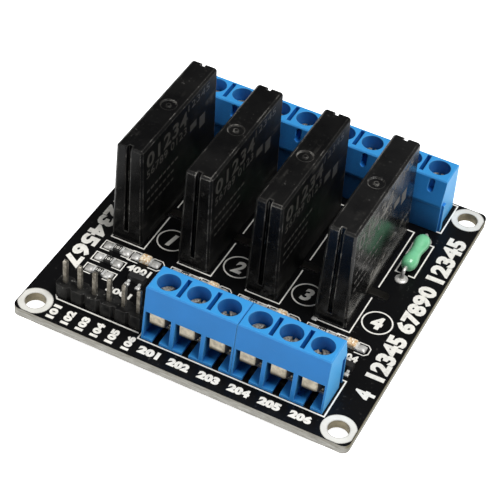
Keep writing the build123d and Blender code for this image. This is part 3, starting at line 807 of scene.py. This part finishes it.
def bent_lead(x):
    """A fuse's wire: up through the board, round a quarter circle, along, and down again."""
    bend, half = 0.6, FUSE_SPAN / 2
    a = np.radians(np.linspace(0, 90, 7))
    rise = np.column_stack([-half + bend - bend * np.cos(a), FUSE_Z - bend + bend * np.sin(a)])
    over = np.vstack([[(-half, 0.0)], rise])
    over = np.vstack([over, over[::-1] * (-1, 1)])
    path = np.column_stack([np.full(len(over), x), FUSE_Y + over[:, 0], over[:, 1]])
    return swept(path, 0.3, 12)


def solder_ring(x, y):
    """Solder round a fuse lead: a low dome, radius 1.08 * sqrt(1 - t^2) at height 0.36 t."""
    t = np.linspace(0, 0.97, 9)
    return swept(upright(x, y, BOARD_TOP + 0.36 * t), 1.08 * np.sqrt(1 - t ** 2), 24)


def solder_cone(x, y):
    """Solder under the board: radius 0.5 + 0.45 * (1 - t)^2.2 at depth t below the board."""
    t = np.linspace(0, 1, 8)
    return swept(upright(x, y, BOARD_LOW - t), 0.5 + 0.45 * (1 - t) ** 2.2, 16)


for k, x in enumerate(FUSES, 1):
    piece(f"fuse_glaze_{k}", [fuse_shell(x + 0.08)], FUSE, [f"fuse_body_{k}"])
    piece(f"fuse_wire_{k}", [bent_lead(x)], LEAD, [f"fuse_leads_{k}"])
FUSE_ENDS = [(x, FUSE_Y + s * FUSE_SPAN / 2) for x in FUSES for s in (-1, 1)]
piece("fuse_solder_domes", [solder_ring(x - 0.08, y) for x, y in FUSE_ENDS], SOLDER,
      ["fuse_solder"])

RELAY_ENDS = RELAY_Y + np.array([-10.16, -5.08, 2.54, 10.16])
LEG_INSET = 2.4
JOINTS = [(x, HEADER_Y) for x in PINS]
JOINTS += [(x, y) for x in RELAYS for y in RELAY_ENDS]
JOINTS += [(x, y - face * LEG_INSET) for kind, tag, poles, y, face in blocks() for x in poles]
JOINTS += FUSE_ENDS
piece("underside_joints", [solder_cone(x, y) for x, y in JOINTS], SOLDER,
      ["lead_solder"])

pads = [blob(x + s * 1.64, y, 0.7, 0.74, BOARD_TOP, 0.46, power=2.4)
        for x in CHIPS for y in CHIP_ROWS for s in (-1, 1)]
pads += [blob(x + s * 1.75, LAMP_Y, 0.74, 0.74, BOARD_TOP, 0.38, power=2.4)
         for x in LAMPS for s in (-1, 1)]
pads += [blob(x + dx, SOT_Y + s * 1.5, 0.42, 0.36, BOARD_TOP, 0.22, steps=9)
         for x in SOTS for dx, s in ((-0.95, -1), (0.95, -1), (0.0, 1))]
pads.append(blob(PRINT_RELAYS[3] - 2.4, FRONT + 21.0, 0.45, 0.45, BOARD_TOP, 0.12, power=2))
piece("soldered_pads", pads, SOLDER, ["pad_solder"])


def lamp_lens(x):
    """A lamp's lens, 1.6 by 1.52 mm and swollen on top.

    u and v run -1 to 1 over it. Height is 0.5 + 0.42 * ((1 - u^6) * (1 - v^6))^0.35.
    """
    u, v = square_grid(15)
    swell = np.clip((1 - u ** 6) * (1 - v ** 6), 0, 1) ** 0.35
    return mound(x + 0.8 * u, LAMP_Y + 0.76 * v, BOARD_TOP + 0.5 + 0.42 * swell, BOARD_TOP)


for k, x in enumerate(LAMPS, 1):
    piece(f"lamp_lens_{k}", [lamp_lens(x)], LAMP, [f"lamp_{k}"])


# Print on the board

def at(x, y):
    """A place on the board, from its front left corner."""
    return (LEFT + x, FRONT + y)


def rectangle(left, front, right, back):
    """The corners of a printed rectangle, in order."""
    return [(left, front), (right, front), (right, back), (left, back)]


PEN, THIN, FINE = 0.24, 0.21, 0.17
ink = []


def draw(points, width=PEN, closed=False):
    """Adds a line to the print, at one of nine heights in turn, so that none lie level."""
    high = BOARD_TOP + 0.026 + 0.0012 * (len(ink) % 9)
    ink.append(ribbon(points, width, closed, high=high))


def write(text, x, y, height, length=None, turn=0.0, bold=0.03, lean=0.0):
    """Adds plain numbers to the print, centred on a place from the board's corner."""
    ink.append(laid(numerals(text, height, length, bold, lean), LEFT + x, FRONT + y, turn))


# Width, boldness and lean of each channel's number
NUMBERS = ((1.2, 0.04, 0.18), (1.8, 0.04, 0.18), (1.8, 0.04, 0.18), (1.9, 0.065, 0.06))
for k, (x, (wide, bold, lean)) in enumerate(zip(PRINT_RELAYS, NUMBERS), 1):
    left, right, front, back = x - 2.4, x + 3.45, FRONT + 21.0, FRONT + 46.95
    gap_front, gap_back = FRONT + 29.7, FRONT + 32.3
    draw([(right, gap_front), (right, front), (left, front), (left, gap_front)], THIN)
    draw([(right, gap_back), (right, back), (left, back), (left, gap_back)], THIN)
    ring_x, ring_y = x + 6.35, 25.05
    draw(arc(ring_x, FRONT + ring_y, 2.38), closed=True)
    write(str(k), ring_x - LEFT, ring_y, 2.8, wide, bold=bold, lean=lean)
for x in FUSES:
    for s in (-1, 1):
        draw(rectangle(x + s * 0.55, FRONT + 37.1, x + s * 1.6, FRONT + 45.4))
for x in OUTPUTS:
    draw(rectangle(x - 5.5, FRONT + 49.0, x + 5.75, FRONT + 56.6), closed=True)
draw(rectangle(*at(19.8, 3.7), *at(50.6, 11.6)), closed=True)
draw([at(4.55, 5.45), at(5.2, 4.67), at(19.4, 4.67)])

for k, (chip, lamp) in enumerate(zip(CHIPS, LAMPS), 1):
    for y in CHIP_ROWS:
        front, back = y - 1.0, y + 1.0
        for s in (-1, 1):
            outer, inner = chip + s * 2.65, chip + s * 1.05
            draw([(chip + s * 0.05, back), (outer, back), (outer, front), (inner, front)], FINE)
        ink.append(laid(numerals(f"10{k}", 0.6, 1.0, bold=0.02), chip, y,
                        low=BOARD_TOP + 0.49, high=BOARD_TOP + 0.515))
    front, back = LAMP_Y - 1.15, LAMP_Y + 1.15
    draw([(lamp + 0.9, front), (lamp + 2.45, front), (lamp + 3.0, LAMP_Y - 0.6),
          (lamp + 3.0, LAMP_Y + 0.6), (lamp + 2.45, back), (lamp + 0.9, back)], FINE)
    draw([(lamp - 0.9, back), (lamp - 2.75, back), (lamp - 2.75, front), (lamp - 0.9, front)],
         FINE)
    write(f"400{k}", lamp - LEFT + 0.15, 16.35, 1.5, 4.0, bold=0.045)
write("3001", 12.6, 10.6, 1.3, 4.2, bold=0.045)
for k, x in enumerate(PINS - LEFT, 1):
    write(f"10{k}", x + (0.69 if k == 6 else 0.49), 2.1, 1.35, 3.0, turn=90, bold=0.07)
    write(f"20{k}", 22.66 + POLE * (k - 1), 1.95, 1.55, 3.5, bold=0.075)
for text, begin, end in (("4", 9.7, 11.4), ("12345", 14.1, 24.0), ("67890", 25.2, 36.4),
                         ("12345", 38.0, 49.0)):
    write(text, 54.0, (begin + end) / 2, 3.1, end - begin, turn=90, bold=0.055)
write("1234567", 2.9, 20.5, 3.0, 17.4, turn=-90, bold=0.05)
piece("board_print", ink, INK)


# Faint marks on the right-hand side of each relay

HALF_FOOT, DRAFT = 2.75, 0.5


def on_side(shape, relay, y, z, rise=0.02, sunk=0.005):
    """Lays a flat shape on a relay's drafted right side, reading towards the back."""
    points, faces = shape
    high = z + points[:, 1]
    wall = relay + HALF_FOOT - DRAFT * (high - RELAY_LOW) / RELAY_H
    out = wall + (points[:, 2] + 0.5) * rise - sunk
    return np.column_stack([out, RELAY_Y + y + points[:, 0], high]), faces


def bar(length, height):
    """A flat bar about the origin, one unit thick."""
    u, v = np.meshgrid((-length / 2, length / 2), (-height / 2, height / 2), indexing="ij")
    return mound(u, v, np.full_like(u, 0.5), -0.5)


STROKE_STEP = 1.3
marks = []
for relay in RELAYS:
    marks.append(on_side(numerals("01234", 2.7, 13.2, bold=0.02), relay, -4.4, 19.6))
    marks.append(on_side(numerals("56789 0123", 1.5, 13.0, bold=0.0), relay, -4.5, 17.1))
    marks.append(on_side(numerals("12345", 1.35, 7.2, bold=0.0), relay, 6.0, 21.0))
    marks.append(on_side(bar(1.9, 2.3), relay, 7.4, 15.4))
    marks.append(on_side(bar(2.2, 1.3), relay, 4.3, 16.4))
    for row, length in enumerate((11.0, 9.4, 10.3)):
        for k in range(int(length / STROKE_STEP)):
            stroke = bar(0.8 + 0.2 * ((k + row) % 2), 0.38)
            marks.append(on_side(stroke, relay, -10.4 + STROKE_STEP * k, 13.6 - 1.7 * row))
piece("relay_side_marks", marks, FAINT_INK)


# View, light and floor

EYE = Vector((72.50, -179.206, 187.943)) * MM
LOOK = Matrix(((0.89241028, -0.35514339, 0.27834701),
               (0.44523253, 0.5928582, -0.67103439),
               (0.07329312, 0.72276714, 0.68719414)))
FOCAL_PIXELS, PHOTO_PIXELS = 1691.2523, 500.0
camera = bpy.data.cameras.new("photo_view")
camera.sensor_width = 36.0
camera.lens = FOCAL_PIXELS / PHOTO_PIXELS * camera.sensor_width
camera.clip_start = 0.01
eye = bpy.data.objects.new("photo_view", camera)
eye.matrix_world = Matrix.Translation(EYE) @ LOOK.to_4x4()
bpy.context.scene.collection.objects.link(eye)
bpy.context.scene.camera = eye
bpy.context.scene.view_settings.view_transform = "Standard"


def floor_finish():
    """Pale floor that glows a little, but not in the board's own shadow."""
    material, net, shader = finish("pale_floor")
    shader.inputs["Base Color"].default_value = (0.9, 0.9, 0.9, 1.0)
    shader.inputs["Roughness"].default_value = 0.9
    shader.inputs["Emission Strength"].default_value = 1.0
    seen = net.nodes.new("ShaderNodeLightPath").outputs["Is Camera Ray"]
    spot = net.axes(net.place())
    within = [net.spread(net.maths("ABSOLUTE", spot[axis]), reach * MM, (reach + 2) * MM, 1.0, 0.0)
              for axis, reach in (("X", 23.5), ("Y", 18.5))]
    glow = net.blend(seen, (0.25, 0.25, 0.25), (0.9, 0.9, 0.9))
    glow = net.blend(net.maths("MULTIPLY", *within), glow, (0.0, 0.0, 0.0))
    net.join(glow, shader.inputs["Emission Color"])
    return material


FLOOR_HALF = 3
corners = [(x * FLOOR_HALF, y * FLOOR_HALF, 0) for x, y in ((-1, -1), (1, -1), (1, 1), (-1, 1))]
floor_mesh = bpy.data.meshes.new("floor")
floor_mesh.from_pydata(corners, [], [(0, 1, 2, 3)])
floor_mesh.materials.append(floor_finish())
floor = bpy.data.objects.new("floor", floor_mesh)
bpy.context.scene.collection.objects.link(floor)


def softbox(name, place, size, power):
    """A square area light that looks from its place at the middle of the floor."""
    light = bpy.data.lights.new(name, "AREA")
    light.shape, light.size, light.energy = "SQUARE", size, power
    lamp = bpy.data.objects.new(name, light)
    lamp.location = place
    lamp.rotation_euler = (-Vector(place)).to_track_quat("-Z", "Y").to_euler()
    bpy.context.scene.collection.objects.link(lamp)


softbox("key_light", (0.30, 0.02, 0.70), 0.42, 6.4)
softbox("front_fill", (-0.40, -0.52, 0.34), 0.4, 2.0)
world = bpy.data.worlds.new("studio")
world.use_nodes = True
sky_net = Net(world.node_tree)
sky = sky_net.nodes["Background"]
sky.inputs["Color"].default_value = (1.0, 1.0, 1.0, 1.0)
seen = sky_net.nodes.new("ShaderNodeLightPath").outputs["Is Camera Ray"]
sky_net.join(sky_net.spread(seen, 0.0, 1.0, 0.12, 1.0), sky.inputs["Strength"])
bpy.context.scene.world = world
